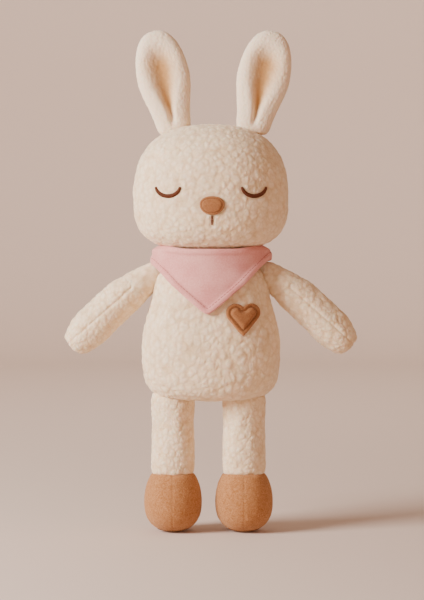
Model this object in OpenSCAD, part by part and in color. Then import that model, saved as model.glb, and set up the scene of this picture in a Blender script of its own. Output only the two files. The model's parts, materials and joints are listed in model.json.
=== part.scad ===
// Stuffed bunny rabbit, standing. +Z is up, the face looks along -Y and +X is the toy's own
// left. The origin is on the floor, midway between the feet. All sizes are in millimetres.
// Each stuffed part is a skin of two sewn panels round its own filling.

/* [Body] */
// Height of the stuffed body, from the seat to the neck
torso_height = 112; // [110:0.5:113]
// Width of the body at the belly
belly_width = 112; // [108:1:114]
// Width of the body at the shoulders
shoulder_width = 95; // [93:1:97]
// Depth of the body at the belly, front to back
belly_depth = 80; // [77:1:82]
// Depth of the body at the shoulders, front to back
shoulder_depth = 70; // [68:1:72]
// Thickness of the curly plush cloth
skin = 2; // [1.5:0.1:2.5]

/* [Head] */
// Width across the cheeks
head_width = 125; // [120:1:128]
// Depth of the head, front to back
head_depth = 100; // [97:1:102]
// Height from the cheeks up to the crown
crown_height = 60; // [58:0.5:62]
// Height from the cheeks down to the chin
chin_height = 38; // [37:0.5:39]
// Gap that the neck bridges between body and head
neck_gap = 11; // [10.5:0.5:12]
// Radius of the ball of stuffing in the neck
neck_radius = 16; // [15:0.5:16.5]

/* [Face] */
// Distance between the middles of the two eyes
eye_spacing = 65.5; // [60:0.5:70]
// Height of the eyes above the cheeks
eye_rise = 8; // [5:0.5:11]
// Radius of the sewn arc of a closed eye
eye_arc = 9.3; // [8:0.1:11]
// Width of the nose patch
nose_width = 20; // [17:0.5:22]
// Height of the nose patch
nose_height = 15; // [13:0.5:17]

/* [Ears] */
// Length of an ear from its fold to its tip
ear_length = 71; // [66:1:74]
// Width of an ear at its widest
ear_width = 42.5; // [39:0.5:44]
// Width of an ear at its fold
ear_base_width = 29; // [26:0.5:31]
// Thickness of an ear at its widest
ear_thickness = 19; // [16:0.5:20]
// Distance of an ear's middle from the middle of the head
ear_spacing = 29; // [28:0.5:31]
// Outward lean of an ear
ear_lean = 12; // [10:0.5:13]
// Sideways shift of both ears, from uneven sewing
ear_shift = 2; // [-2:0.5:2.5]

/* [Arms] */
// Radius of an arm
arm_radius = 14.5; // [13.5:0.1:14.7]
// Radius of the hand
hand_radius = 15.5; // [14.8:0.1:16]
// Length of an arm from the shoulder's centre to the tip
arm_length = 72; // [68:1:76]
// Angle of an arm below the level
arm_droop = 41.5; // [40:0.5:45]
// Distance of a shoulder's centre from the middle of the body
shoulder_x = 59; // [58.5:0.5:60]
// Height of a shoulder's centre above the seat
shoulder_rise = 90; // [88:0.5:92]

/* [Legs] */
// Radius of a leg
leg_radius = 17.8; // [17:0.1:18.2]
// Length of a leg between the foot and the body
leg_length = 58; // [55:0.5:62]
// Distance of a leg's middle from the middle of the body
leg_spacing = 28.5; // [28:0.5:30]
// Sideways shift of both legs, from uneven sewing
leg_shift = -2; // [-2.5:0.5:2.5]
// Height of a foot
foot_height = 47; // [44:0.5:50]
// Radius of a foot at its widest
foot_radius = 23.3; // [22:0.1:24]
// Radius of the flat sole
sole_radius = 18; // [16:0.1:19]

/* [Dress] */
// Length of the bandana's point below its top edge
bandana_drop = 49.5; // [45:0.5:55]
// Thickness of the doubled bandana cloth
bandana_cloth = 2.2; // [1.6:0.1:2.4]
// Width of the heart patch
heart_width = 26; // [22:0.5:30]
// Thickness of the felt patches
felt = 1.6; // [1.2:0.1:2]

/* [Hidden] */
$fn = 48;

PLUSH = "#dccbbd";
FELT = "#b67f5a";
PINK = "#cfa49c";
THREAD = "#7a431f";
STUFFING = "#f3efe8";
LINING = "#c9a98c";
LEFT = 1;
RIGHT = -1;

// Gap between pieces that touch, and between parts that move on each other
touch = 0.1;
running = 0.6;

// Heights above the floor
seat_z = foot_height + leg_length + 0.5;
torso_top = seat_z + torso_height - 0.5;
torso_mid = (seat_z + torso_top) / 2;
torso_half_height = (torso_top - seat_z) / 2;
belly_top = seat_z + 45;
shoulder_z = seat_z + shoulder_rise;
head_z = torso_top + neck_gap + chin_height;
neck_z = torso_top + neck_gap / 2;
hip_z = seat_z - leg_radius - 1;
eye_z = head_z + eye_rise;
nose_z = head_z - 5;
heart_z = seat_z + 66;

// How square the rounded forms are: 2 is an ellipse, more is boxier
torso_square = 5;
head_square = 2.6;
plan_square = 2.2;

// Facets of the lofted skins
rings = 22;
sides = 36;
ear_rings = 16;
ear_sides = 24;

function powered(value, power) = sign(value) * pow(abs(value), power);
function smooth(value, low, high) =
    let (t = min(1, max(0, (value - low) / (high - low)))) t * t * (3 - 2 * t);
function mix(a, b, t) = a + (b - a) * t;
function rounding(height, square) = pow(max(0, 1 - pow(abs(height), square)), 1 / square);
function plan(lon) = [powered(cos(lon), 2 / plan_square), -powered(sin(lon), 2 / plan_square)];

// Half width and half depth of the body at a height
function torso_reach(z, inset) =
    let (
        share = smooth(z, belly_top, shoulder_z),
        cap = rounding((z - torso_mid) / (torso_half_height - inset), torso_square)
    )
    [
        (mix(belly_width, shoulder_width, share) / 2 - inset) * cap,
        (mix(belly_depth, shoulder_depth, share) / 2 - inset) * cap
    ];

// Points of each form, from its lowest (lat -90) to its highest (lat 90), and round it from
// the +X side over the front (lon 90) and the -X side to the back (lon 270)
function torso_point(lat, lon, inset) =
    let (
        z = torso_mid + (torso_half_height - inset) * sin(lat),
        reach = torso_reach(z, inset)
    )
    [reach.x * plan(lon).x, reach.y * plan(lon).y, z];
function head_point(lat, lon, inset) =
    let (
        height = (lat < 0 ? chin_height : crown_height) - inset,
        cap = rounding(sin(lat), head_square)
    )
    [
        (head_width / 2 - inset) * cap * plan(lon).x,
        (head_depth / 2 - inset) * cap * plan(lon).y,
        head_z + height * sin(lat)
    ];

// An ear, standing along +Z with its fold line along X through the origin. Its front is
// hollowed into a groove between two puffed rims.
ear_heel = 6;
ear_groove = 0.62;
function ear_point(lat, lon, inset) =
    let (
        half = (ear_length + ear_heel) / 2 - inset,
        z = (ear_length - ear_heel) / 2 + half * sin(lat),
        cap = rounding(sin(lat), lat < 0 ? 6 : 2.2),
        share = smooth(z, 0, ear_length * 0.45),
        x = (mix(ear_base_width, ear_width, share) / 2 - inset) * cap * cos(lon),
        y = -(mix(ear_heel, ear_thickness / 2, share) - inset) * cap * sin(lon),
        hollow = ear_groove * smooth(z, 2, 20) * exp(-pow(x / (ear_width * 0.2), 2))
    )
    [x, y < 0 ? y * (1 - hollow) : y, z];

// A closed solid of a form
module full_form(form, rings, sides, inset) {
    points = [
        form(-90, 0, inset),
        for (i = [1 : rings - 1]) for (j = [0 : sides - 1])
            form(-90 + 180 * i / rings, 360 * j / sides, inset),
        form(90, 0, inset)
    ];
    last = len(points) - 1;
    function at(i, j) = 1 + (i - 1) * sides + j % sides;
    faces = [
        for (j = [0 : sides - 1]) each [
            [0, at(1, j + 1), at(1, j)],
            [at(rings - 1, j), at(rings - 1, j + 1), last]
        ],
        for (i = [1 : rings - 2]) for (j = [0 : sides - 1]) each [
            [at(i, j), at(i, j + 1), at(i + 1, j + 1)],
            [at(i, j), at(i + 1, j + 1), at(i + 1, j)]
        ]
    ];
    polyhedron(points, faces);
}

// Half of the skin of a form, cut at y = 0: the front half starts at lon 0, the back at 180
module half_skin(form, rings, sides, start, thickness) {
    steps = sides / 2;
    function layer(inset) = [
        form(-90, start, inset),
        for (i = [1 : rings - 1]) for (j = [0 : steps])
            form(-90 + 180 * i / rings, start + 180 * j / steps, inset),
        form(90, start, inset)
    ];
    outer = layer(0);
    size = len(outer);
    function at(i, j) = i == 0 ? 0 : i == rings ? size - 1 : 1 + (i - 1) * (steps + 1) + j;
    function sheet_face(a, b, c) = [[a, b, c], [size + a, size + c, size + b]];
    faces = [
        for (j = [0 : steps - 1]) each sheet_face(0, at(1, j + 1), at(1, j)),
        for (j = [0 : steps - 1]) each sheet_face(at(rings - 1, j), at(rings - 1, j + 1), size - 1),
        for (i = [1 : rings - 2]) for (j = [0 : steps - 1]) each concat(
            sheet_face(at(i, j), at(i, j + 1), at(i + 1, j + 1)),
            sheet_face(at(i, j), at(i + 1, j + 1), at(i + 1, j))
        ),
        for (i = [0 : rings - 1]) each [
            [at(i, 0), at(i + 1, 0), size + at(i + 1, 0)],
            [at(i, 0), size + at(i + 1, 0), size + at(i, 0)],
            [at(i, steps), size + at(i + 1, steps), at(i + 1, steps)],
            [at(i, steps), size + at(i, steps), size + at(i + 1, steps)]
        ]
    ];
    polyhedron(concat(outer, layer(thickness)), faces);
}

// Mirrors what is drawn for the toy's left side
module on_side(side) {
    mirror([side < 0 ? 1 : 0, 0, 0]) children();
}

// Round hollows in the body and head that the neck and the shoulders turn in
module sockets() {
    translate([0, 0, neck_z]) rotate([0, 0, 15]) sphere(neck_radius + running);
    for (side = [LEFT, RIGHT]) on_side(side)
        translate([shoulder_x, 0, shoulder_z]) rotate([0, 0, 15]) sphere(arm_radius + running);
}

torso_form = function (lat, lon, inset) torso_point(lat, lon, inset);
head_form = function (lat, lon, inset) head_point(lat, lon, inset);
ear_form = function (lat, lon, inset) ear_point(lat, lon, inset);

FRONT = 0;
BACK = 180;

// Body
module torso_panel(start) {
    color(PLUSH) difference() {
        half_skin(torso_form, rings, sides, start, skin);
        sockets();
    }
}
module torso_filling() {
    color(STUFFING) difference() {
        full_form(torso_form, rings, sides, skin + touch);
        sockets();
    }
}

// Tail: a round pompon with a flat back, sewn on low down
tail_radius = 11;
tail_rise = 24;
tail_sunk = 0.35;
module tail() {
    back = torso_reach(seat_z + tail_rise, 0).y + 7 * touch;
    flat = asin(tail_sunk);
    color(PLUSH) translate([0, back + tail_radius * tail_sunk, seat_z + tail_rise])
        rotate([-90, 0, 0]) rotate_extrude() polygon([
            [0, -tail_radius * tail_sunk],
            for (i = [0 : 12]) let (lat = mix(-flat, 90, i / 12))
                tail_radius * [cos(lat), sin(lat)]
        ]);
}

// Blank label, sewn in low down on the back
label_size = [14, 20, 0.6];
label_x = 30;
label_rise = 16;
module care_label() {
    z = seat_z + label_rise;
    widest = torso_reach(z + label_size.y, 0);
    color("white") mirror([0, 1, 0]) on_front(label_x, z, widest, 9 * touch)
        translate([-label_size.x / 2, 0, 0]) cube(label_size);
}

// Puts what is drawn in the XY plane on a form's front, facing outwards and tipped back by lean
function front_depth(x, reach) =
    reach.y * pow(1 - pow(abs(x) / reach.x, plan_square), 1 / plan_square);
module on_front(x, z, reach, gap, lean = 0) {
    step = 4;
    near = front_depth(abs(x) - step, reach);
    far = front_depth(abs(x) + step, reach);
    turn = sign(x) * atan2(near - far, 2 * step);
    depth = front_depth(x, reach);
    translate([x + gap * sin(turn), -depth - gap * cos(turn), z])
        rotate([90 - lean, 0, turn]) children();
}

// Heart
heart_x = 25;
module heart_outline(width) {
    lobe = width * 0.27;
    for (side = [-1, 1]) hull() {
        translate([side * (width / 2 - lobe), width * 0.2]) circle(lobe);
        translate([0, -width * 0.46]) circle(width * 0.05);
    }
}
module on_heart(gap) {
    span = heart_width / 2;
    low = torso_reach(heart_z - span, 0);
    high = torso_reach(heart_z + span, 0);
    lean = atan2(front_depth(heart_x, low) - front_depth(heart_x, high), 2 * span);
    on_front(heart_x, heart_z, torso_reach(heart_z, 0), gap, lean) children();
}
module heart_patch() {
    color(FELT) on_heart(5 * touch) linear_extrude(felt) heart_outline(heart_width);
}
module heart_stitching() {
    color(THREAD) on_heart(6 * touch + felt) linear_extrude(0.4) difference() {
        heart_outline(heart_width * 0.76);
        heart_outline(heart_width * 0.68);
    }
}

// Bandana: a doubled triangle of cloth round the neck, its point in front and its two ends
// brought together at the nape. Turn is 0 in front and 180 at the nape; down is 0 at the top
// edge and 1 at the lower edge.
bandana_top = torso_top + 7.5;
bandana_nape = torso_top - 4;
bandana_band = 10;
bandana_turns = 36;
bandana_rows = 6;
function bandana_edge(turn) = mix(bandana_top, bandana_nape, smooth(abs(turn), 90, 170));
function bandana_depth(turn) =
    abs(turn) < 90
        ? mix(bandana_drop, bandana_band, powered(sin(abs(turn)), 1))
        : bandana_band;
function bandana_point(turn, down, lift) =
    let (
        z = bandana_edge(turn) - down * bandana_depth(turn),
        reach = torso_reach(min(z, torso_top - 13), 0)
    )
    [(reach.x + lift) * sin(turn), -(reach.y + lift) * cos(turn), z];

// A closed plate between two layers of the bandana's surface
module bandana_plate(from, to, top, bottom, low, high, steps, rows) {
    layers = [for (lift = [low, high]) for (i = [0 : steps]) for (j = [0 : rows])
        bandana_point(mix(from, to, i / steps), mix(top, bottom, j / rows), lift)];
    size = (steps + 1) * (rows + 1);
    function at(i, j) = i * (rows + 1) + j;
    function wall(a, b) = [[a, b, size + b], [a, size + b, size + a]];
    faces = [
        for (i = [0 : steps - 1]) for (j = [0 : rows - 1]) each [
            [at(i, j), at(i + 1, j), at(i + 1, j + 1)],
            [at(i, j), at(i + 1, j + 1), at(i, j + 1)],
            [size + at(i, j), size + at(i + 1, j + 1), size + at(i + 1, j)],
            [size + at(i, j), size + at(i, j + 1), size + at(i + 1, j + 1)]
        ],
        for (i = [0 : steps - 1]) each wall(at(i + 1, 0), at(i, 0)),
        for (i = [0 : steps - 1]) each wall(at(i, rows), at(i + 1, rows)),
        for (j = [0 : rows - 1]) each wall(at(0, j), at(0, j + 1)),
        for (j = [0 : rows - 1]) each wall(at(steps, j + 1), at(steps, j))
    ];
    polyhedron(layers, faces);
}
bandana_lift = 1.7;
nape_end = 178;
module bandana() {
    color(PINK) bandana_plate(-nape_end, nape_end, 0, 1, bandana_lift,
        bandana_lift + bandana_cloth, bandana_turns, bandana_rows);
}
module bandana_hem_stitching() {
    low = bandana_lift + bandana_cloth + 4 * touch;
    color("#a9756c") for (side = [LEFT, RIGHT]) on_side(side)
        bandana_plate(6, 86, 0.86, 0.89, low, low + 0.5, 12, 1);
}
module bandana_tack_stitches() {
    low = bandana_lift + bandana_cloth + touch;
    color("#a9756c") for (down = [0.15, 0.65])
        bandana_plate(nape_end - 3, 360 - nape_end + 3, down, down + 0.2, low, low + 0.7, 4, 1);
}

// Neck: a ball of stuffing that the head turns and nods on
module neck_filling() {
    color(STUFFING) translate([0, 0, neck_z]) sphere(neck_radius);
}

// Head
module neck_socket() {
    translate([0, 0, neck_z]) rotate([0, 0, 15]) sphere(neck_radius + running);
}
module head_panel(start) {
    color(PLUSH) difference() {
        half_skin(head_form, rings, sides, start, skin);
        neck_socket();
    }
}
module head_filling() {
    color(STUFFING) difference() {
        full_form(head_form, rings, sides, skin + touch);
        neck_socket();
    }
}

// Face
function head_reach(z) =
    let (cap = rounding((z - head_z) / (z < head_z ? chin_height : crown_height), head_square))
    [head_width / 2 * cap, head_depth / 2 * cap];
module on_face(x, z, gap) {
    on_front(x, z, head_reach(z), gap) children();
}
module nose_outline(shrink) {
    top = 5.2;
    foot = 3.4;
    hull() {
        for (side = [-1, 1])
            translate([side * (nose_width / 2 - top), nose_height / 2 - top]) circle(top - shrink);
        for (side = [-1, 1])
            translate([side * 2.4, foot - nose_height / 2]) circle(foot - shrink);
    }
}
module nose_patch() {
    color(FELT) on_face(0, nose_z, touch) linear_extrude(felt) nose_outline(0);
}
module nose_stitching() {
    color(THREAD) on_face(0, nose_z, felt + 2 * touch) linear_extrude(0.4) difference() {
        nose_outline(0.8);
        nose_outline(1.5);
    }
}
module mouth_stitch() {
    length = 7;
    top = nose_z - nose_height / 2 - 0.5;
    reach = head_reach(top - length);
    tilt = atan2(head_reach(top).y - reach.y, length);
    color(THREAD) translate([0, -reach.y - 0.9, top - length]) rotate([tilt, 0, 0])
        cylinder(length - 1, r = 0.6);
}
module eye(side) {
    sweep = 150;
    color(THREAD) on_face(side * eye_spacing / 2, eye_z, 1.7) translate([0, eye_arc * 0.5, 0])
        rotate([0, 0, -90 - sweep / 2]) rotate_extrude(angle = sweep) translate([eye_arc, 0]) circle(1);
}

// Ears
module at_ear(side) {
    x = ear_spacing + (head_width * 0.03);
    ear_z = head_reach_top(ear_spacing) + ear_heel + 1.2;
    translate([ear_shift, 0, 0]) on_side(side) translate([x, 0, ear_z]) rotate([0, ear_lean, 0])
        children();
}
function head_reach_top(x) = head_z + crown_height * rounding(x / (head_width / 2), head_square);
ear_skin = 1.4;
module ear_front_panel(side) {
    color(LINING) at_ear(side) half_skin(ear_form, ear_rings, ear_sides, FRONT, ear_skin);
}
module ear_back_panel(side) {
    color(PLUSH) at_ear(side) half_skin(ear_form, ear_rings, ear_sides, BACK, ear_skin);
}
module ear_filling(side) {
    color(STUFFING) at_ear(side) full_form(ear_form, ear_rings, ear_sides, ear_skin + 1.5 * touch);
}

// Arms, drawn along +Z from the shoulder's centre
module at_arm(side) {
    on_side(side) translate([shoulder_x, 0, shoulder_z]) rotate([0, 90 + arm_droop, 0]) children();
}
module arm_form(inset) {
    reach = arm_length - hand_radius;
    sphere(arm_radius - inset);
    cylinder(reach, arm_radius - inset, hand_radius - inset);
    translate([0, 0, reach]) sphere(hand_radius - inset);
}
module arm_panel(side, up) {
    cut = 2 * arm_length;
    color(PLUSH) at_arm(side) difference() {
        arm_form(0);
        arm_form(skin);
        translate([up ? 0 : -cut, -cut / 2, -cut / 2]) cube(cut);
    }
}
gather_radius = 5;
module arm_filling(side) {
    color(STUFFING) at_arm(side) difference() {
        arm_form(skin + touch);
        sphere(gather_radius + running);
    }
}
// The gathered end of the arm's cloth, tied off and sewn into the body's side seam
module shoulder_gather(side) {
    color(PLUSH) at_arm(side) sphere(gather_radius);
}

// Legs
module at_leg(side) {
    translate([leg_shift, 0, 0]) on_side(side) translate([leg_spacing, 0, 0]) children();
}
module leg_form(inset) {
    translate([0, 0, hip_z]) sphere(leg_radius - inset);
    translate([0, 0, foot_height + touch])
        cylinder(hip_z - foot_height - touch, r = leg_radius - inset);
}
module leg_panel(side, front) {
    cut = 2 * hip_z;
    color(PLUSH) at_leg(side) difference() {
        leg_form(0);
        leg_form(skin);
        cylinder(hip_z, r = leg_radius - skin);
        translate([-cut / 2, front ? 0 : -cut, -1]) cube(cut);
    }
}
module leg_filling(side) {
    color(STUFFING) at_leg(side) leg_form(skin + touch);
}

// Feet: round felted feet, each of two side panels over a flat sole
foot_widest = 24;
foot_square = 2.4;
function foot_reach(z) =
    let (half = (foot_height - foot_widest) / rounding(leg_radius / foot_radius, foot_square))
    foot_radius * rounding((z - foot_widest) / half, foot_square);
function foot_profile(inset, low, high) = [
    [0, low],
    for (i = [0 : 10]) let (z = mix(low, high, i / 10)) [foot_reach(z) - inset, z],
    [0, high]
];
module foot_panel(side, outer) {
    low = skin + touch;
    color(FELT) at_leg(side) rotate([0, 0, outer ? -90 : 90]) rotate_extrude(angle = 180) difference() {
        polygon(foot_profile(0, low, foot_height));
        polygon(foot_profile(skin, low - 1, foot_height + 1));
    }
}
module foot_sole(side) {
    color(FELT) at_leg(side) cylinder(skin, r = sole_radius);
}
module foot_filling(side) {
    color(STUFFING) at_leg(side)
        rotate_extrude() polygon(foot_profile(skin + touch, skin + touch, foot_height));
}

torso_panel(FRONT);  // torso_front_panel
torso_panel(BACK);  // torso_back_panel
torso_filling();
tail();
care_label();
heart_patch();
heart_stitching();
bandana();
bandana_hem_stitching();
bandana_tack_stitches();
neck_filling();
head_panel(FRONT);  // head_front_panel
head_panel(BACK);  // head_back_panel
head_filling();
nose_patch();
nose_stitching();
mouth_stitch();
eye(LEFT);  // eye_left
eye(RIGHT);  // eye_right
ear_front_panel(LEFT);  // ear_front_panel_left
ear_back_panel(LEFT);  // ear_back_panel_left
ear_filling(LEFT);  // ear_filling_left
ear_front_panel(RIGHT);  // ear_front_panel_right
ear_back_panel(RIGHT);  // ear_back_panel_right
ear_filling(RIGHT);  // ear_filling_right
shoulder_gather(LEFT);  // shoulder_gather_left
arm_panel(LEFT, true);  // arm_upper_panel_left
arm_panel(LEFT, false);  // arm_lower_panel_left
arm_filling(LEFT);  // arm_filling_left
shoulder_gather(RIGHT);  // shoulder_gather_right
arm_panel(RIGHT, true);  // arm_upper_panel_right
arm_panel(RIGHT, false);  // arm_lower_panel_right
arm_filling(RIGHT);  // arm_filling_right
leg_panel(LEFT, true);  // leg_front_panel_left
leg_panel(LEFT, false);  // leg_back_panel_left
leg_filling(LEFT);  // leg_filling_left
leg_panel(RIGHT, true);  // leg_front_panel_right
leg_panel(RIGHT, false);  // leg_back_panel_right
leg_filling(RIGHT);  // leg_filling_right
foot_panel(LEFT, true);  // foot_outer_panel_left
foot_panel(LEFT, false);  // foot_inner_panel_left
foot_sole(LEFT);  // foot_sole_left
foot_filling(LEFT);  // foot_filling_left
foot_panel(RIGHT, true);  // foot_outer_panel_right
foot_panel(RIGHT, false);  // foot_inner_panel_right
foot_sole(RIGHT);  // foot_sole_right
foot_filling(RIGHT);  // foot_filling_right
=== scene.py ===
import json
import math
import bmesh
import bpy
import numpy as np
from mathutils import Matrix, Vector, noise
from mathutils.bvhtree import BVHTree


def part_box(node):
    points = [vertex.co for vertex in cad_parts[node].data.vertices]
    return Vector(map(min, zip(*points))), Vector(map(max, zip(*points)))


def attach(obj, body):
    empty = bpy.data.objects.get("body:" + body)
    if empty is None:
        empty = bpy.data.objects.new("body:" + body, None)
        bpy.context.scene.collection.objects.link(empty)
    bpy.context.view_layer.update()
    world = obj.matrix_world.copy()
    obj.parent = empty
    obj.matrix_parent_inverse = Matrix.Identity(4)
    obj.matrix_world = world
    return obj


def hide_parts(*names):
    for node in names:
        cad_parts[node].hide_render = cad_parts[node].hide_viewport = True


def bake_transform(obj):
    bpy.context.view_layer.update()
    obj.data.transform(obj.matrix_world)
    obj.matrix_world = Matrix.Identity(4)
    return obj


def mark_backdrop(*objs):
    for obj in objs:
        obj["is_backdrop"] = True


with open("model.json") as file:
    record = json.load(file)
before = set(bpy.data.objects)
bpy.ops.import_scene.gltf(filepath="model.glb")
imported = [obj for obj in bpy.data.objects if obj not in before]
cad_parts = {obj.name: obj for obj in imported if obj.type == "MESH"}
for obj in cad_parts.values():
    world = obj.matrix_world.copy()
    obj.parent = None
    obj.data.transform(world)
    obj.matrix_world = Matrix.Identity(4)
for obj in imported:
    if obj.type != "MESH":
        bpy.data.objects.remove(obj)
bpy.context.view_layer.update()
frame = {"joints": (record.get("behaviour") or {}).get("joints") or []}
joints = {joint["name"]: joint for joint in frame["joints"]}

# ---------------------------------------------------------------------------------------------
# Studio: a plain pale sweep of paper, one big soft lamp on the left, a weak warm one on the
# right and a warm room. The camera stands in front, level with the toy's belly.
# ---------------------------------------------------------------------------------------------
MM = 0.001


def colour(hex_code, alpha=1.0):
    """An sRGB hex colour as the linear values that the shaders take."""
    parts = [int(hex_code[i:i + 2], 16) / 255 for i in (1, 3, 5)]
    linear = [p / 12.92 if p <= 0.04045 else ((p + 0.055) / 1.055) ** 2.4 for p in parts]
    return (*linear, alpha)


def add_node(tree, kind, inputs=None, **settings):
    """Adds a node, sets its properties, and sets or links its inputs by name or number."""
    made = tree.nodes.new(kind)
    for name, value in settings.items():
        setattr(made, name, value)
    for name, value in (inputs or {}).items():
        if isinstance(value, bpy.types.NodeSocket):
            tree.links.new(value, made.inputs[name])
        else:
            made.inputs[name].default_value = value
    return made


def new_material(name, settings):
    """A material with one shader that has these settings, its node tree, and that shader."""
    material = bpy.data.materials.new(name)
    material.use_nodes = True
    tree = material.node_tree
    tree.nodes.clear()
    shader = add_node(tree, "ShaderNodeBsdfPrincipled", settings)
    add_node(tree, "ShaderNodeOutputMaterial", {"Surface": shader.outputs[0]})
    return material, tree, shader


def link_object(name, mesh):
    """A new object in the scene, at the origin."""
    made = bpy.data.objects.new(name, mesh)
    bpy.context.scene.collection.objects.link(made)
    return made


def grid_faces(at, rows, columns):
    """Quads between rows and columns of points. at(row, column) gives a point's number."""
    return [(at(i, j), at(i + 1, j), at(i + 1, j + 1), at(i, j + 1))
            for i in range(rows) for j in range(columns)]


def made_mesh(name, verts, faces, material=None):
    """A mesh whose faces point outwards, and are smooth if it has its material already."""
    mesh = bpy.data.meshes.new(name)
    mesh.from_pydata(verts, [], faces)
    turned = bmesh.new()
    turned.from_mesh(mesh)
    bmesh.ops.recalc_face_normals(turned, faces=turned.faces)
    turned.to_mesh(mesh)
    turned.free()
    if material:
        mesh.polygons.foreach_set("use_smooth", [True] * len(mesh.polygons))
        mesh.materials.append(material)
    return mesh


def paper_sweep():
    """A round floor that curves up into a low wall, the same from every side."""
    floor, curve, wall_top, sides = 1.85, 0.5, 1.1, 96
    profile = [(0.3, 0.0), (1.0, 0.0)]
    for step in range(13):
        turn = math.radians(90 * step / 12)
        profile.append((floor + curve * math.sin(turn), curve - curve * math.cos(turn)))
    profile.append((floor + curve, wall_top))
    # The paper lies a hair below the feet, so that the two don't flicker
    below = -0.5 * MM
    rounds = [2 * math.pi * k / sides for k in range(sides)]
    verts = [(0, 0, below)]
    for radius, height in profile:
        verts += [(radius * math.cos(turn), radius * math.sin(turn), height + below) for turn in rounds]

    def at(row, k):
        return 1 + row * sides + k % sides

    faces = [(0, at(0, k), at(0, k + 1)) for k in range(sides)]
    faces += grid_faces(at, len(profile) - 1, sides)
    # Matt backdrop paper: no gloss, one even tone
    paper = new_material("backdrop paper", {"Base Color": colour("#dcc9bd"), "Roughness": 0.9,
                                            "Specular IOR Level": 0.2})[0]
    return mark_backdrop(link_object("paper_sweep", made_mesh("paper sweep", verts, faces, paper)))


def lamp(name, place, target, size, power, tint):
    """A square soft box that faces the target."""
    light = bpy.data.lights.new(name, "AREA")
    light.size = size
    light.energy = power
    light.color = colour(tint)[:3]
    box = bpy.data.objects.new(name, light)
    box.location = place
    box.rotation_euler = (Vector(target) - Vector(place)).to_track_quat("-Z", "Y").to_euler()
    bpy.context.scene.collection.objects.link(box)


def studio():
    """Camera, lamps and room light."""
    middle = Vector((0.0008, 0.0, 0.1855))
    distance, rise = 1.7, math.radians(2.5)
    seen_height = 0.480
    data = bpy.data.cameras.new("camera")
    data.sensor_fit = "VERTICAL"
    data.sensor_height = 24
    data.lens = data.sensor_height / 2 / (seen_height / 2 / distance)
    camera = bpy.data.objects.new("camera", data)
    camera.location = middle + distance * Vector((0, -math.cos(rise), math.sin(rise)))
    camera.rotation_euler = (middle - camera.location).to_track_quat("-Z", "Y").to_euler()
    bpy.context.scene.collection.objects.link(camera)
    bpy.context.scene.camera = camera
    lamp("key", (-1.3, -0.72, 0.74), (0, 0, 0.2), 0.7, 57, "#fffaf5")
    lamp("warm fill", (1.3, -0.9, 0.4), (0, 0, 0.18), 1.0, 2.8, "#ffb27a")
    lamp("wall light", (0, 0.9, 1.5), (0, 2.3, 0.45), 0.9, 16, "#fff4ea")
    world = bpy.data.worlds.new("room")
    world.use_nodes = True
    world.node_tree.nodes["Background"].inputs["Color"].default_value = colour("#ffd9bd")
    world.node_tree.nodes["Background"].inputs["Strength"].default_value = 0.4
    bpy.context.scene.world = world


paper_sweep()
studio()

# ---------------------------------------------------------------------------------------------
# Body: two panels of curly plush, front and back, sewn together up the sides and stuffed hard
# with polyester fibre. The pile is short loops that clump into nubs, and hides most of the seam.
# ---------------------------------------------------------------------------------------------
NUB = 5.4 * MM
NUB_HEIGHT = 0.95 * MM
CURL = 1.7 * MM
CURL_HEIGHT = 0.26 * MM


def powered(value, power):
    """A power that keeps its value's sign."""
    return math.copysign(abs(value) ** power, value)


def smooth(value, low, high):
    """An easy rise from 0 at low to 1 at high."""
    part = min(1.0, max(0.0, (value - low) / (high - low)))
    return part * part * (3 - 2 * part)


def mix(a, b, part):
    return a + (b - a) * part


def rounding(height, square):
    """How wide a rounded form is at a height from -1 to 1: 2 is an ellipse, more is boxier."""
    return max(0.0, 1 - abs(height) ** square) ** (1 / square)


def plan(lon, square=2.2):
    """A point on a rounded outline seen from above. It starts at +X and goes round by the front."""
    angle = math.radians(lon)
    return powered(math.cos(angle), 2 / square), -powered(math.sin(angle), 2 / square)


def ringed_mesh(name, start, rings, end, material=None):
    """A closed mesh that runs from a spot, through rings of points, to another spot."""
    sides, last_ring = len(rings[0]), len(rings) - 1
    verts = [start] + [spot for ring in rings for spot in ring] + [end]

    def at(i, j):
        return 1 + i * sides + j % sides

    faces = [(0, at(0, j), at(0, j + 1)) for j in range(sides)]
    faces += [(len(verts) - 1, at(last_ring, j + 1), at(last_ring, j)) for j in range(sides)]
    faces += grid_faces(at, last_ring, sides)
    return made_mesh(name, verts, faces, material)


def form_mesh(name, point, rings, sides):
    """A closed mesh of a rounded form. point(height from -1 to 1, angle) gives its surface."""
    levels = [math.sin(math.radians(-90 + 180 * i / rings)) for i in range(1, rings)]
    return ringed_mesh(name, point(-1.0, 0), [[point(level, 360 * j / sides) for j in range(sides)]
                                              for level in levels], point(1.0, 0))


def baked(piece):
    """Turns an object's modifiers into its mesh, and removes them."""
    seen = piece.evaluated_get(bpy.context.evaluated_depsgraph_get())
    mesh = bpy.data.meshes.new_from_object(seen)
    piece.modifiers.clear()
    piece.data = mesh
    return piece


def subdivided(piece, levels):
    """Makes a piece's mesh finer and rounder."""
    fine = piece.modifiers.new("fine", "SUBSURF")
    fine.levels = fine.render_levels = levels
    return baked(piece)


def places(piece):
    """The points of a piece's mesh, as rows."""
    rows = np.empty(len(piece.data.vertices) * 3)
    piece.data.vertices.foreach_get("co", rows)
    return rows.reshape(-1, 3)


def set_places(piece, rows):
    piece.data.vertices.foreach_set("co", np.asarray(rows, float).ravel())
    piece.data.update()


def normals(piece):
    """The normals of a piece's points, as rows."""
    rows = np.empty(len(piece.data.vertices) * 3)
    piece.data.vertex_normals.foreach_get("vector", rows)
    return rows.reshape(-1, 3)


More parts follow.
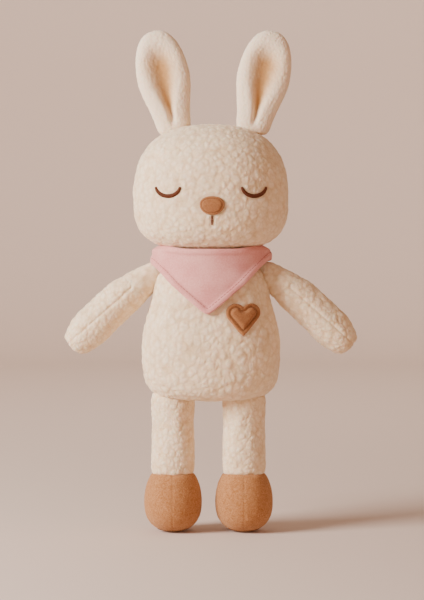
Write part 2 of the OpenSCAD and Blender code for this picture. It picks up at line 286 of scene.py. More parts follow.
# Plush cloth under the pressure of its stuffing. The seams draw in by up to 12 %
STUFFING = {"quality": 4, "mass": 0.3, "tension_stiffness": 15, "compression_stiffness": 15,
            "bending_stiffness": 0.5, "use_pressure": True, "uniform_pressure_force": 4,
            "vertex_group_shrink": "seam", "shrink_min": 0.0, "shrink_max": 0.12}
SETTLING_STEPS = 20


def stuffed(name, mesh, voxel, swell, levels, seam=None):
    """Fills a skin with stuffing: an even mesh, blown up as cloth by pressure from inside, with
    its seam drawn tight, and then made fine."""
    piece = link_object(name, mesh)
    cut = places(piece)
    remesh = piece.modifiers.new("even", "REMESH")
    remesh.mode = "VOXEL"
    remesh.voxel_size = voxel
    baked(piece)
    start = places(piece)
    group = piece.vertex_groups.new(name="seam")
    for index, spot in enumerate(start):
        group.add([index], seam(spot) if seam else 0.0, "REPLACE")
    cloth = piece.modifiers.new("cloth", "CLOTH")
    for setting, value in STUFFING.items():
        setattr(cloth.settings, setting, value)
    cloth.settings.effector_weights.gravity = 0
    cloth.collision_settings.use_collision = False
    for step in range(1, SETTLING_STEPS + 1):
        bpy.context.scene.frame_set(step)
    baked(piece)
    bpy.context.scene.frame_set(1)
    moved = places(piece) - start
    length = np.linalg.norm(moved, axis=1, keepdims=True)
    set_places(piece, start + moved * np.minimum(1, swell / np.maximum(length, 1e-9)))
    piece.vertex_groups.clear()
    subdivided(piece, levels)
    # The seams take up cloth as they draw in, so the skin is brought back to its finished size
    rows = places(piece)
    low, high = rows.min(axis=0), rows.max(axis=0)
    size = cut.max(axis=0) - cut.min(axis=0)
    set_places(piece, cut.min(axis=0) + (rows - low) / (high - low) * size)
    return piece


def sew(piece, depth, width, distance):
    """Draws the surface in along a seam: distance gives how far each point lies from it."""
    rows = places(piece)
    off = np.abs(distance(rows))
    pull = depth * np.exp(-(off / width) ** 2)
    set_places(piece, rows - normals(piece) * pull[:, None])


def first(tree, kind, inputs=None, **settings):
    """Adds a node, and gives its first output."""
    return add_node(tree, kind, inputs, **settings).outputs[0]


def surface_nodes(name, numbers):
    """A Geometry Nodes tree that takes a mesh, these numbers and a material. It comes with its
    inputs, and a function that ends it with whole, smooth faces in that material."""
    tree = bpy.data.node_groups.new(name, "GeometryNodeTree")
    sockets = [("Geometry", "INPUT", "Geometry")] + [(label, "INPUT", "Float") for label in numbers]
    for label, side, kind in sockets + [("Material", "INPUT", "Material"),
                                        ("Geometry", "OUTPUT", "Geometry")]:
        tree.interface.new_socket(label, in_out=side, socket_type="NodeSocket" + kind)
    given = add_node(tree, "NodeGroupInput").outputs

    def finish(geometry):
        whole = first(tree, "GeometryNodeRealizeInstances", {"Geometry": geometry})
        shaded = first(tree, "GeometryNodeSetShadeSmooth", {"Geometry": whole})
        dressed = first(tree, "GeometryNodeSetMaterial",
                        {"Geometry": shaded, "Material": given["Material"]})
        add_node(tree, "NodeGroupOutput", {0: dressed})
        return tree

    return tree, given, finish


def pile_tree():
    """Curly pile: clumped nubs with loops on them, raised from the surface. Where the surface
    is marked bare, under a patch or a stitch, the pile lies flat. It leaves its own height on
    the mesh as the attribute pile, which the plush's painted shade follows: darker in the
    hollows, paler on the nubs."""
    tree, given, finish = surface_nodes(
        "curly pile", ("Nub size", "Nub height", "Curl size", "Curl height", "Seed"))
    number, vector = "ShaderNodeMath", "ShaderNodeVectorMath"

    def warped(place, size, amount):
        """Places that wander, so that the clumps are uneven."""
        scale = first(tree, number, {0: 0.8, 1: size}, operation="DIVIDE")
        cloud = add_node(tree, "ShaderNodeTexNoise", {"Vector": place, "Scale": scale, "Detail": 2.0})
        swing = first(tree, vector, {0: cloud.outputs["Color"], 1: (0.5, 0.5, 0.5)},
                      operation="SUBTRACT")
        reach = first(tree, number, {0: size, 1: amount}, operation="MULTIPLY")
        moved = first(tree, vector, {0: swing, "Scale": reach}, operation="SCALE")
        return first(tree, vector, {0: place, 1: moved}, operation="ADD")

    def together(main, minor):
        """Mostly the first, and some of the second."""
        some = first(tree, number, {0: minor, 1: 0.28}, operation="MULTIPLY")
        return first(tree, number, {0: main, 1: 0.72, 2: some}, operation="MULTIPLY_ADD")

    def clumps(place, size, softness):
        """Domed clumps with thin creases between them, from 0 in a crease to 1 on a clump."""
        scale = first(tree, number, {0: 1.0, 1: size}, operation="DIVIDE")
        middle = first(tree, "ShaderNodeTexVoronoi",
                       {"Vector": place, "Scale": scale, "Smoothness": softness}, feature="SMOOTH_F1")
        edge = first(tree, "ShaderNodeTexVoronoi", {"Vector": place, "Scale": scale},
                     feature="DISTANCE_TO_EDGE")
        dome = first(tree, number, {0: middle, 1: middle}, operation="MULTIPLY")
        domed = first(tree, "ShaderNodeMapRange",
                      {"Value": dome, "From Min": 0.0, "From Max": 0.8, "To Min": 1.0, "To Max": 0.0})
        creased = first(tree, "ShaderNodeMapRange",
                        {"Value": edge, "From Min": 0.0, "From Max": 0.34, "To Min": 0.0,
                         "To Max": 1.0}, interpolation_type="SMOOTHSTEP")
        return together(domed, creased)

    shift = first(tree, vector, {0: (0.13, 0.07, 0.11), "Scale": given["Seed"]}, operation="SCALE")
    place = first(tree, vector, {0: first(tree, "GeometryNodeInputPosition"), 1: shift},
                  operation="ADD")
    nubs = clumps(warped(place, given["Nub size"], 1.1), given["Nub size"], 0.6)
    curls = clumps(warped(place, given["Curl size"], 1.6), given["Curl size"], 0.2)
    curl_lift = first(tree, number, {0: curls, 1: given["Curl height"]}, operation="MULTIPLY")
    lift = first(tree, number, {0: nubs, 1: given["Nub height"], 2: curl_lift},
                 operation="MULTIPLY_ADD")
    bare = first(tree, "GeometryNodeInputNamedAttribute", {"Name": "bare"})
    free = first(tree, number, {0: 1.0, 1: bare}, operation="SUBTRACT")
    lift = first(tree, number, {0: lift, 1: free}, operation="MULTIPLY")
    offset = first(tree, vector, {0: first(tree, "GeometryNodeInputNormal"), "Scale": lift},
                   operation="SCALE")
    raised = first(tree, "GeometryNodeSetPosition", {"Geometry": given["Geometry"], "Offset": offset})
    # Painted shade: this height makes the plush darker in the pile's hollows and paler on the nubs
    return finish(first(tree, "GeometryNodeStoreNamedAttribute",
                        {"Geometry": raised, "Name": "pile", "Value": together(nubs, curls)},
                        data_type="FLOAT", domain="POINT"))


PILE = pile_tree()


def run_tree(piece, tree, values):
    """Runs a Geometry Nodes tree on a piece with these inputs, and keeps the result as its mesh."""
    modifier = piece.modifiers.new("nodes", "NODES")
    modifier.node_group = tree
    for item in tree.interface.items_tree:
        if item.in_out == "INPUT" and item.name in values:
            modifier[item.identifier] = values[item.name]
    return baked(piece)


def mark(mesh, name, values, kind="FLOAT"):
    """Stores a value under this name on each point of a mesh."""
    attribute = mesh.attributes.get(name) or mesh.attributes.new(name, kind, "POINT")
    attribute.data.foreach_set("vector" if kind == "FLOAT_VECTOR" else "value",
                               np.asarray(values, np.float32).ravel())


def grow_pile(piece, material, seed, nub=NUB, height=NUB_HEIGHT, curl=CURL, curl_height=CURL_HEIGHT):
    """Covers a piece with pile. Points marked bare from 0 to 1 have that much less of it."""
    if "bare" not in piece.data.attributes:
        mark(piece.data, "bare", np.zeros(len(piece.data.vertices)))
    run_tree(piece, PILE, {"Nub size": nub, "Nub height": height, "Curl size": curl,
                           "Curl height": curl_height, "Seed": float(seed), "Material": material})


def object_place(tree, scale):
    """Object coordinates, multiplied by a scale given as repeats per metre."""
    place = add_node(tree, "ShaderNodeTexCoord").outputs["Object"]
    return first(tree, "ShaderNodeMapping", {"Vector": place, "Scale": (scale, scale, scale)})


def set_bands(ramp, *bands):
    """Sets a colour ramp's bands, each given as its share and hex colour, lowest first."""
    low, high = ramp.color_ramp.elements
    low.position, low.color = bands[0][0], colour(bands[0][1])
    high.position, high.color = bands[-1][0], colour(bands[-1][1])
    for share, tint in bands[1:-1]:
        ramp.color_ramp.elements.new(share).color = colour(tint)


def uneven_dye(tree, shader, dye, repeats, detail, darkest, palest):
    """Colours a material with a dye that took unevenly, between these shares of its tone."""
    patches = first(tree, "ShaderNodeTexNoise",
                    {"Vector": object_place(tree, repeats), "Scale": 1.0, "Detail": detail})
    tone = first(tree, "ShaderNodeMapRange", {"Value": patches, "From Min": 0.3, "From Max": 0.7,
                                              "To Min": darkest, "To Max": palest})
    toned = first(tree, "ShaderNodeVectorMath", {0: dye, "Scale": tone}, operation="SCALE")
    tree.links.new(toned, shader.inputs["Base Color"])


def fibre_relief(tree, shader, size, detail, swirl, strength, depth):
    """Loose fibres, as a fine bump with features of this size."""
    fibres = first(tree, "ShaderNodeTexNoise", {"Vector": object_place(tree, 1 / size), "Scale": 1.0,
                                                "Detail": detail, "Distortion": swirl})
    bump = first(tree, "ShaderNodeBump",
                 {"Height": fibres, "Strength": strength, "Distance": depth})
    tree.links.new(bump, shader.inputs["Normal"])


# A pile of fine undyed loops: light goes a few millimetres in, and nothing shines
PILE_LOOK = {"Roughness": 0.95, "Specular IOR Level": 0.15, "Sheen Weight": 0.25,
             "Sheen Roughness": 0.6, "Sheen Tint": colour("#fff4e6"), "Subsurface Weight": 0.35,
             "Subsurface Radius": (1.0, 0.62, 0.38), "Subsurface Scale": 3 * MM}


def plush_material():
    """Curly polyester plush: matt undyed cream loops, with painted shade in the pile: the nubs
    are painted pale, and the hollows between them darker and warm, soft and not black, because
    light comes through the pile."""
    material, tree, shader = new_material("curly polyester plush", PILE_LOOK)
    pile = add_node(tree, "ShaderNodeAttribute", attribute_name="pile").outputs["Fac"]
    ramp = add_node(tree, "ShaderNodeValToRGB", {"Fac": pile})
    # Painted shade by pile height: warm darker hollows, paler nub tips
    set_bands(ramp, (0.1, "#dabb94"), (0.48, "#e9d0ad"), (0.85, "#f4e0c4"))
    uneven_dye(tree, shader, ramp.outputs["Color"], 0.25 / NUB, 3.0, 0.94, 1.04)
    fibre_relief(tree, shader, 0.6 * MM, 4.0, 1.5, 0.45, 0.3 * MM)
    return material


PLUSH = plush_material()

body_low, body_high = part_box("torso_front_panel")
belly_half = body_high.x
belly_deep = -body_low.y
body_mid = (body_low.z + body_high.z) / 2
body_half = (body_high.z - body_low.z) / 2 + 0.4 * MM
shoulder_z = joints["arm_raise_left"]["pos_m"][2]
# How far inside its finished outline a skin is cut, to leave room for the pile
PILE_ROOM = 1.2 * MM


def body_reach(z):
    """Half width and half depth of the stuffed body at a height."""
    share = smooth(z, body_low.z + 45 * MM, shoulder_z)
    return mix(belly_half, belly_half * 0.848, share), mix(belly_deep, belly_deep * 0.875, share)


def body_point(level, lon):
    z = body_mid + (body_half - PILE_ROOM) * level
    wide, deep = body_reach(z)
    cap = rounding(level, 5)
    across, along = plan(lon)
    return (wide - PILE_ROOM) * cap * across, (deep - PILE_ROOM) * cap * along, z


def side_seam(rows):
    return rows[:, 1]


def tight(spot):
    """How tightly a point is drawn in by the side seam, from 0 to 1."""
    return math.exp(-(spot[1] / (4 * MM)) ** 2)


body = stuffed("body_plush", form_mesh("body", body_point, 40, 64), 5.5 * MM, 1.2 * MM, 3, tight)
sew(body, 1.6 * MM, 1.8 * MM, side_seam)
# The pile is pressed flat under the middle of the heart
heart_low, heart_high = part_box("heart_patch")
rows = places(body)
heart_gap = np.hypot(rows[:, 0] - (heart_low.x + heart_high.x) / 2,
                     rows[:, 2] - (heart_low.z + heart_high.z) / 2)
mark(body.data, "bare", np.where(rows[:, 1] < 0, np.clip((13 * MM - heart_gap) / (4 * MM), 0, 1), 0))
grow_pile(body, PLUSH, 1)
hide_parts("torso_front_panel", "torso_back_panel", "torso_filling")
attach(body, "torso")

# ---------------------------------------------------------------------------------------------
# Head: two panels like the body's, rounder at the crown and fuller at the cheeks, stuffed hard
# and sewn to the neck underneath.
# ---------------------------------------------------------------------------------------------
head_low, head_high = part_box("head_front_panel")
head_half = head_high.x
head_deep = -head_low.y
cheek_z = head_high.z - 60 * MM
crown = head_high.z - cheek_z
chin = 42.5 * MM


def head_point(level, lon):
    cap = rounding(level, 3.2 if level < 0 else 2.6)
    across, along = plan(lon)
    height = (chin if level < 0 else crown) - PILE_ROOM
    return ((head_half - PILE_ROOM) * cap * across, (head_deep - PILE_ROOM) * cap * along,
            cheek_z + height * level)


head = stuffed("head_plush", form_mesh("head", head_point, 44, 72), 5.5 * MM, 1.0 * MM, 3, tight)
sew(head, 1.5 * MM, 1.8 * MM, side_seam)
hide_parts("head_front_panel", "head_back_panel", "head_filling")

# ---------------------------------------------------------------------------------------------
# Face: closed eyes in satin stitch, laid side by side across the lash line; a domed patch of
# felt for the nose, with a stitched line just inside its edge; and a stitched mouth under it.
# ---------------------------------------------------------------------------------------------
# What each stitch's point carries, and where that is in its spot
STITCH_VALUES = (("along", "FLOAT_VECTOR", 1), ("up", "FLOAT_VECTOR", 2), ("reach", "FLOAT", 3))


def thread_tree():
    """Lays one arched length of thread on each point, along its own direction."""
    tree, given, finish = surface_nodes("thread stitches", ("Thickness", "Rise"))
    top = first(tree, "ShaderNodeCombineXYZ", {"Z": given["Rise"]})
    arch = first(tree, "GeometryNodeCurveQuadraticBezier",
                 {"Resolution": 6, "Start": (-0.5, 0, 0), "Middle": top, "End": (0.5, 0, 0)})
    radius = first(tree, "ShaderNodeMath", {0: given["Thickness"], 1: 0.5}, operation="MULTIPLY")
    ring = first(tree, "GeometryNodeCurvePrimitiveCircle", {"Resolution": 6, "Radius": radius})
    thread = first(tree, "GeometryNodeCurveToMesh",
                   {"Curve": arch, "Profile Curve": ring, "Fill Caps": True})
    along, up, reach = (first(tree, "GeometryNodeInputNamedAttribute", {"Name": name}, data_type=kind)
                        for name, kind, _ in STITCH_VALUES)
    turn = first(tree, "FunctionNodeAlignRotationToVector", {"Vector": along}, axis="X")
    turn = first(tree, "FunctionNodeAlignRotationToVector", {"Rotation": turn, "Vector": up},
                 axis="Z", pivot_axis="X")
    stretch = first(tree, "ShaderNodeCombineXYZ", {"X": reach, "Y": 1.0, "Z": 1.0})
    return finish(first(tree, "GeometryNodeInstanceOnPoints",
                        {"Points": given["Geometry"], "Instance": thread, "Rotation": turn,
                         "Scale": stretch}))


THREADS = thread_tree()


def stitches(name, spots, thickness, rise, material, body_name, node=None):
    """Stitches of thread. Each spot is (middle, direction, way up, length)."""
    mesh = bpy.data.meshes.new(name)
    mesh.from_pydata([spot[0] for spot in spots], [], [])
    for label, kind, index in STITCH_VALUES:
        mark(mesh, label, [spot[index] for spot in spots], kind)
    piece = run_tree(link_object(name, mesh), THREADS,
                     {"Thickness": thickness, "Rise": rise, "Material": material})
    if node:
        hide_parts(node)
    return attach(piece, body_name)


def thread_material(name, dye, gloss):
    """Embroidery thread: dyed strands with a soft sheen, a little uneven along their length."""
    material, tree, shader = new_material(name, {"Roughness": gloss, "Specular IOR Level": 0.3})
    uneven_dye(tree, shader, colour(dye)[:3], 1 / (0.5 * MM), 2.0, 0.8, 1.15)
    return material


def felt_material(name, dark, pale):
    """Felted wool: matted fibres with no weave, matt, with a short fuzz that catches the light."""
    material, tree, shader = new_material(name, {
        "Roughness": 0.92, "Specular IOR Level": 0.2, "Sheen Weight": 0.28, "Sheen Roughness": 0.5,
        "Sheen Tint": colour("#ffd9b8"), "Subsurface Weight": 0.12,
        "Subsurface Radius": (1.0, 0.5, 0.3), "Subsurface Scale": 1.5 * MM})
    wisps = first(tree, "ShaderNodeTexNoise",
                  {"Vector": object_place(tree, 1 / (2.6 * MM)), "Scale": 1.0, "Detail": 6.0,
                   "Roughness": 0.65, "Distortion": 2.2})
    ramp = add_node(tree, "ShaderNodeValToRGB", {"Fac": wisps})
    set_bands(ramp, (0.32, dark), (0.68, pale))
    tree.links.new(ramp.outputs["Color"], shader.inputs["Base Color"])
    fibre_relief(tree, shader, 0.8 * MM, 5.0, 2.5, 0.9, 0.5 * MM)
    return material


BROWN_THREAD = thread_material("brown satin stitch thread", "#5e2c10", 0.6)
TAN_THREAD = thread_material("tan sewing thread", "#8d5a36", 0.7)
DARK_FELT = felt_material("brown felted wool", "#8f5b37", "#ae784e")


def surface_tree(piece):
    """A quick way to find spots on a piece's surface."""
    return BVHTree.FromPolygons([Vector(row) for row in places(piece)],
                                [tuple(face.vertices) for face in piece.data.polygons])


def front_spot(tree, x, z):
    """The spot on the front of a surface at this width and height, and the way it faces."""
    spot, facing, _, _ = tree.ray_cast(Vector((x, -0.3, z)), Vector((0, 1, 0)))
    return spot, facing


def patch_ground(tree, middle, reach):
    """The ground a patch lies on. Felt is too stiff to follow each wrinkle, so it is one smooth
    curved sheet, fitted to the surface. It gives the spot at a width and height, and its facing."""
    shares = [(reach * i / 4, reach * j / 4) for i in range(-4, 5) for j in range(-4, 5)]
    terms = np.array([(1, a, b, a * a, b * b, a * b) for a, b in shares])
    depths = np.array([front_spot(tree, middle[0] + a, middle[1] + b)[0].y for a, b in shares])
    fit = np.linalg.lstsq(terms, depths, rcond=None)[0]

    def ground(x, z):
        a, b = x - middle[0], z - middle[1]
        depth = float(fit @ np.array((1, a, b, a * a, b * b, a * b)))
        across, up = fit[1] + 2 * fit[3] * a + fit[5] * b, fit[2] + 2 * fit[4] * b + fit[5] * a
        return Vector((x, depth, z)), Vector((across, -1, up)).normalized()

    return ground


eye_low, eye_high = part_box("eye_left")
eye_x = (eye_low.x + eye_high.x) / 2
eye_z = eye_high.z - 0.2 * MM
EYE_HALF = 9.5 * MM
EYE_DROP = 8.0 * MM
EYE_BEND = 0.94 * math.pi / 2
smooth_head = surface_tree(head)


def eye_line(side, steps):
    """Points along a closed eye: a wide, even curve like a sleeping lash line."""
    line = []
    for step in range(steps + 1):
        bend = EYE_BEND * (2 * step / steps - 1)
        line.append(front_spot(smooth_head, side * eye_x + EYE_HALF * math.sin(bend),
                               eye_z - EYE_DROP * math.cos(bend)))
    return line


nose_low, nose_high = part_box("nose_patch")
nose_middle = (0.8 * MM, (nose_low.z + nose_high.z) / 2)
MOUTH_TOP = nose_middle[1] - 7.9 * MM
MOUTH_LENGTH = 7.0 * MM
MOUTH_BARE_Z = 250 * MM


def nose_outline(turn):
    """An oval that is a little wider near the top than at the bottom."""
    across = powered(math.cos(turn), 0.92) * (9.6 + 0.9 * math.sin(turn)) * MM
    return across, powered(math.sin(turn), 0.96) * 7.3 * MM


# The pile is trimmed where the thread and the felt lie
rows = places(head)
bare = np.zeros(len(rows))
for side in (-1, 1):
    for point, _ in eye_line(side, 40):
        gap = np.linalg.norm(rows - point, axis=1)
        bare = np.maximum(bare, np.clip(1.5 - gap / (2.4 * MM), 0, 1))
in_front = rows[:, 1] < 0
nose_gap = np.hypot((rows[:, 0] - nose_middle[0]) / (10.5 * MM),
                    (rows[:, 2] - nose_middle[1]) / (7.8 * MM))
bare = np.maximum(bare, np.where(in_front, np.clip((1.25 - nose_gap) / 0.3, 0, 1), 0))
mouth_gap = np.hypot(rows[:, 0] - nose_middle[0],
                     np.maximum(0, np.abs(rows[:, 2] - MOUTH_BARE_Z) - 4 * MM))
bare = np.maximum(bare, np.where(in_front, np.clip(1.4 - mouth_gap / (1.8 * MM), 0, 1), 0))
mark(head.data, "bare", bare)
grow_pile(head, PLUSH, 2, nub=4.9 * MM, height=0.75 * MM)
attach(head, "head")

for side, name in ((1, "left"), (-1, "right")):
    line = eye_line(side, 64)
    spots = []
    for index in range(1, len(line) - 1):
        spot, facing = line[index]
        ahead = (line[index + 1][0] - line[index - 1][0]).normalized()
        part = abs(-1 + 2 * index / (len(line) - 1))
        width = mix(3.1, 1.7, part ** 3) * MM
        spots.append((spot + facing * 0.45 * MM, ahead.cross(facing).normalized(), facing, width))
    stitches("eye_thread_" + name, spots, 0.55 * MM, 1.3 * MM, BROWN_THREAD, "head",
             "eye_" + name)


def patch(name, ground, middle, outline, height, turns, rings, material):
    """A felt patch laid on a surface. height(distance in from its edge) is its thickness."""
    edge = np.array([outline(math.pi * i / turns / 2) for i in range(4 * turns)])

    def spot_at(ring, step, under):
        share = math.sin(math.pi / 2 * ring / rings)
        across, up = (share * value for value in outline(2 * math.pi * step / turns))
        spot, facing = ground(middle[0] + across, middle[1] + up)
        gap = np.min(np.hypot(edge[:, 0] - across, edge[:, 1] - up))
        return spot + facing * (-0.4 * MM if under else height(gap))

    layers = [(ring, False) for ring in range(1, rings + 1)]
    layers += [(ring, True) for ring in range(rings, 0, -1)]
    skin = [[spot_at(ring, step, under) for step in range(turns)] for ring, under in layers]
    mesh = ringed_mesh(name, spot_at(0, 0, False), skin, spot_at(0, 0, True), material)
    return link_object(name, mesh)


def rounded_edge(gap, width):
    """How high a rounded edge is, from 0 to 1, this far in."""
    part = min(1.0, gap / width)
    return math.sqrt(part * (2 - part))


def nose_height(gap):
    groove = 0.8 * math.exp(-((gap - 1.7 * MM) / (0.5 * MM)) ** 2)
    return (0.2 + 1.5 * rounded_edge(gap, 1.2 * MM) + 1.3 * rounded_edge(gap, 7 * MM) - groove) * MM


PATH_STEPS = 400


def running_path(ground, middle, outline, inset, height):
    """A closed path on a patch, a little in from its edge, as (spot, way it faces)."""
    path = []
    for index in range(PATH_STEPS + 1):
        across, up = outline(2 * math.pi * index / PATH_STEPS)
        shrink = 1 - inset / math.hypot(across, up)
        spot, facing = ground(middle[0] + shrink * across, middle[1] + shrink * up)
        path.append((spot + facing * height(inset), facing))
    return path


def dashes(path, length, gap, lift):
    """Running stitches along a path of (spot, facing), a stitch and a gap at a time."""
    spots = []
    travelled = 0.0
    start = None
    for (spot, facing), (ahead, _) in zip(path, path[1:]):
        step = (ahead - spot).length
        inside = travelled % (length + gap) < length
        if inside and start is None:
            start = spot
        if not inside and start is not None:
            spots.append(((start + spot) / 2 + facing * lift, (spot - start).normalized(), facing,
                          (spot - start).length))
            start = None
        travelled += step
    return spots


nose_ground = patch_ground(smooth_head, nose_middle, 9 * MM)
nose = patch("nose_felt", nose_ground, nose_middle, nose_outline, nose_height, 72, 16, DARK_FELT)
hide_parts("nose_patch")
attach(nose, "head")
rim = running_path(nose_ground, nose_middle, nose_outline, 1.7 * MM, nose_height)
stitches("nose_thread", dashes(rim, 1.3 * MM, 0.45 * MM, 0.1 * MM), 0.4 * MM, 0.4 * MM,
         TAN_THREAD, "head", "nose_stitching")

mouth = []
for step in range(2):
    for ply in (-1, 1):
        top, facing = front_spot(smooth_head, nose_middle[0], MOUTH_TOP - MOUTH_LENGTH * step / 2)
        low, _ = front_spot(smooth_head, nose_middle[0], MOUTH_TOP - MOUTH_LENGTH * (step + 1) / 2)
        middle = (top + low) / 2 + facing * 0.6 * MM + Vector((ply * 0.3 * MM, 0, 0))
        along = (top - low).normalized() + Vector((ply * 0.12, 0, 0))
        mouth.append((middle, along.normalized(), facing, (top - low).length * 1.15))
stitches("mouth_thread", mouth, 0.75 * MM, 0.3 * MM, BROWN_THREAD, "head",
         "mouth_stitch")

# ---------------------------------------------------------------------------------------------
# Neck: a short stuffed collar of the same plush, sewn into the openings of body and head. It
# hides under the bandana.
# ---------------------------------------------------------------------------------------------
neck_pivot = Vector(joints["head_nod"]["pos_m"])
NECK_RADIUS = 29 * MM


def neck_point(level, lon):
    cap = rounding(level, 3)
    across, along = plan(lon, 2)
    return NECK_RADIUS * cap * across, NECK_RADIUS * 0.94 * cap * along, neck_pivot.z + 13 * MM * level


neck = stuffed("neck_plush", form_mesh("neck", neck_point, 20, 40), 4.5 * MM, 0.6 * MM, 2)
grow_pile(neck, PLUSH, 3)
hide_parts("neck_filling")
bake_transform(neck)

# ---------------------------------------------------------------------------------------------
# Arms: each is a tube of two panels, upper and lower, with a seam along the front and back and
# a round hand, stuffed and gathered at the shoulder. A cap of plush covers the gather.
# ---------------------------------------------------------------------------------------------
def limb_frame(pivot, along):
    """A matrix that takes +Z to a limb's direction, with +Y kept, and the origin to its pivot."""
    z = Vector(along).normalized()
    y = Vector((0, 1, 0))
    x = y.cross(z).normalized()
    return Matrix(((x.x, y.x, z.x, pivot.x), (x.y, y.y, z.y, pivot.y), (x.z, y.z, z.z, pivot.z),
                   (0, 0, 0, 1)))


ARM_LENGTH = 72 * MM
ARM_ROOT = 9 * MM
CAP_ROOT = 26 * MM
SLEEVE = 6 * MM
GATHER_RADIUS = 8.4 * MM
ARM_RADIUS = 14.5 * MM
HAND_RADIUS = 15.4 * MM


def arm_radius(reach):
    """An arm's radius this far from its joint: narrow at the gather, fuller towards the hand."""
    root = mix(GATHER_RADIUS, ARM_RADIUS, smooth(reach, -28 * MM, 14 * MM))
    return mix(root, HAND_RADIUS, smooth(reach, 14 * MM, 56 * MM)) - PILE_ROOM


def arm_spot(place, side, reach, thick, lon):
    """A point on an arm's skin, as thick as this, where the arm arches up a little."""
    across, along = plan(lon, 2.0)
    arch = 1.5 * MM * math.exp(-((reach - 20 * MM) / (20 * MM)) ** 2)
    return tuple(place @ Vector((thick * across - side * arch, thick * along, reach)))


for side, name in ((1, "left"), (-1, "right")):
    pivot = Vector(joints["arm_raise_" + name]["pos_m"])
    swing = Vector(joints["arm_swing_" + name]["axis"])
    along = Vector((0, 1, 0)).cross(swing) * side
    along = along if along.x * side > 0 else -along
    place = limb_frame(pivot, along)
    back = np.array(place.inverted())
    half = (ARM_LENGTH + ARM_ROOT) / 2 - PILE_ROOM

    def arm_point(level, lon):
        reach = (ARM_LENGTH - ARM_ROOT) / 2 + half * level
        cap = rounding(level, 7 if level < 0 else 3.7)
        return arm_spot(place, side, reach, arm_radius(reach) * cap, lon)

    arm = stuffed("arm_plush_" + name, form_mesh("arm", arm_point, 36, 40), 4 * MM, 0.9 * MM, 3,
                  lambda spot: math.exp(-((place.inverted() @ Vector(spot)).x / (3 * MM)) ** 2))
    sew(arm, 0.7 * MM, 1.2 * MM, lambda rows: rows @ back[0, :3] + back[0, 3] + side * 3 * MM)
    grow_pile(arm, PLUSH, 4 + side, nub=4.7 * MM, height=0.8 * MM)
    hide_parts(f"arm_upper_panel_{name}", f"arm_lower_panel_{name}", f"arm_filling_{name}")
    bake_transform(arm)

    def cap_point(level, lon):
        reach = mix(-CAP_ROOT, SLEEVE, (level + 1) / 2)
        thick = arm_radius(reach) + mix(0.9 * MM, -0.2 * MM, smooth(reach, -4 * MM, SLEEVE))
        return arm_spot(place, side, reach, thick * rounding(level, 4 if level < 0 else 12), lon)

    cap = stuffed("shoulder_plush_" + name, form_mesh("shoulder", cap_point, 20, 36), 4 * MM,
                  0.5 * MM, 2)
    grow_pile(cap, PLUSH, 7 + side, nub=4.7 * MM, height=0.8 * MM)
    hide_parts("shoulder_gather_" + name)
    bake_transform(cap)

# ---------------------------------------------------------------------------------------------
# Legs: straight tubes of plush, front and back panels, sewn under the body at the top and to
# the felt feet at the bottom. They are drawn in a little at the hip.
# ---------------------------------------------------------------------------------------------
LEG_ROOT = 7 * MM
LEG_TUCK = 3 * MM
for side, name in ((1, "left"), (-1, "right")):
    low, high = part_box("leg_front_panel_" + name)
    middle_x = (low.x + high.x) / 2
    leg_radius = (high.x - low.x) / 2 - PILE_ROOM + 0.4 * MM
    hip = Vector(joints["leg_swing_" + name]["pos_m"])
    top = body_low.z + LEG_ROOT
    bottom = low.z - LEG_TUCK

    def leg_point(level, lon):
        z = mix(bottom, top, (level + 1) / 2)
        thick = leg_radius * rounding(level, 12)
        thick *= 1 - 0.035 * math.exp(-((z - hip.z) / (10 * MM)) ** 2)
        across, along = plan(lon, 2.1)
        return middle_x + thick * across, thick * along, z

    leg = stuffed("leg_plush_" + name, form_mesh("leg", leg_point, 40, 44), 4 * MM, 0.7 * MM, 3, tight)
    sew(leg, 1.0 * MM, 1.3 * MM, side_seam)
    grow_pile(leg, PLUSH, 11 + side, nub=4.5 * MM, height=0.75 * MM)
    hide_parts(f"leg_front_panel_{name}", f"leg_back_panel_{name}", f"leg_filling_{name}")
    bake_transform(leg)

# ---------------------------------------------------------------------------------------------
# Feet: round feet of tan felted wool, two side panels with a seam down the front and back, and
# a sole let in underneath with a row of small stitches.
# ---------------------------------------------------------------------------------------------
FELT = felt_material("tan felted wool", "#99602f", "#c58f60")
FOOT_WIDEST = 24 * MM
ANKLE_RADIUS = 16.6 * MM
